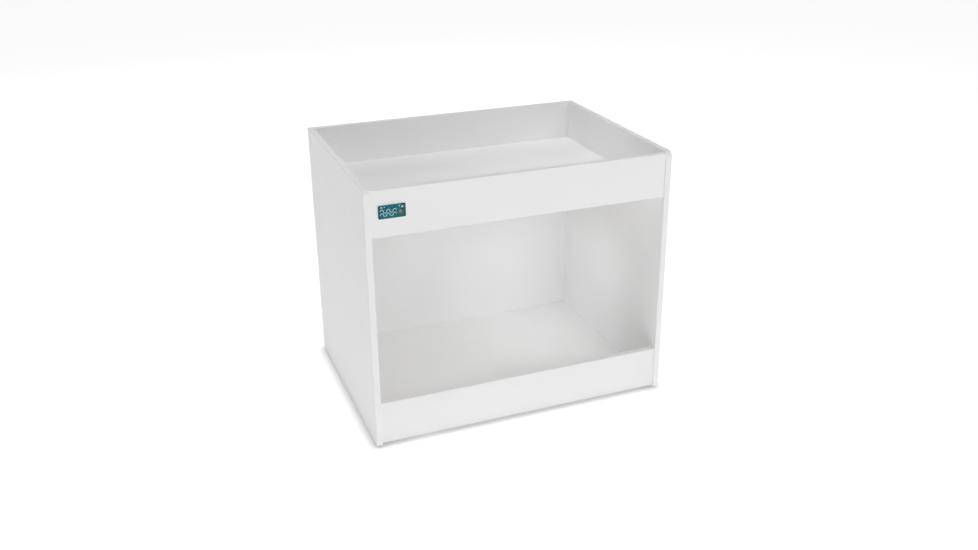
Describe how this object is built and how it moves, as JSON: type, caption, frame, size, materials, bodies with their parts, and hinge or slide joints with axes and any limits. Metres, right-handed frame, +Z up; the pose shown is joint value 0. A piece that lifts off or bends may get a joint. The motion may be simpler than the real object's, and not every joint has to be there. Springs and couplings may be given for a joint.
{
  "type": "aquarium stand cabinet",
  "caption": "White board cabinet that carries an aquarium on a sunken deck, with an open front lower compartment.",
  "frame": {"origin": "centre of the footprint, on the floor, under the centre of the cabinet's box", "axes": "+Z up; the open front faces -Y, the back panel is at +Y; +X runs to the right for someone who faces the front"},
  "size_m": [0.75, 0.547, 0.636],
  "materials": {
    "white_board": "white melamine-faced board, satin",
    "white_edge_band": "white ABS edge banding, satin",
    "pine": "planed bare pine",
    "beech": "fluted bare beech",
    "plated_steel": "bright zinc plated",
    "zinc_alloy": "die-cast, dull",
    "white_plastic": "moulded, satin",
    "badge_foam": "adhesive foam tape",
    "badge_white": "gloss",
    "badge_teal": "printed film",
    "badge_mark": "printed ink",
    "badge_amber": "printed ink",
    "badge_resin": "clear cast resin"
  },
  "bodies": {
    "root": {"side_panel_left": "white_board", "side_panel_right": "white_board", "side_edge_band_left": "white_edge_band", "side_edge_band_right": "white_edge_band", "back_panel": "white_board", "back_top_edge_band": "white_edge_band", "front_fascia": "white_board", "fascia_top_edge_band": "white_edge_band", "fascia_bottom_edge_band": "white_edge_band", "kick_board": "white_board", "kick_top_edge_band": "white_edge_band", "kick_bottom_edge_band": "white_edge_band", "tank_deck": "white_board", "bottom_shelf": "white_board", "deck_cross_rail": "white_board", "deck_batten_rear": "pine", "deck_batten_left_front": "pine", "deck_batten_left_rear": "pine", "deck_batten_right_front": "pine", "deck_batten_right_rear": "pine", "wooden_dowels_8mm": "beech", "wooden_dowels_6mm": "beech", "cam_bolts": "plated_steel", "cam_locks": "zinc_alloy", "cam_caps": "white_plastic", "batten_screws": "plated_steel", "deck_screws": "plated_steel", "badge_adhesive_pad": "badge_foam", "badge_plate": "badge_white", "badge_inlay": "badge_teal", "badge_wave_mark": "badge_mark", "badge_disc_mark": "badge_amber", "badge_dome": "badge_resin"}
  },
  "joints": []
}
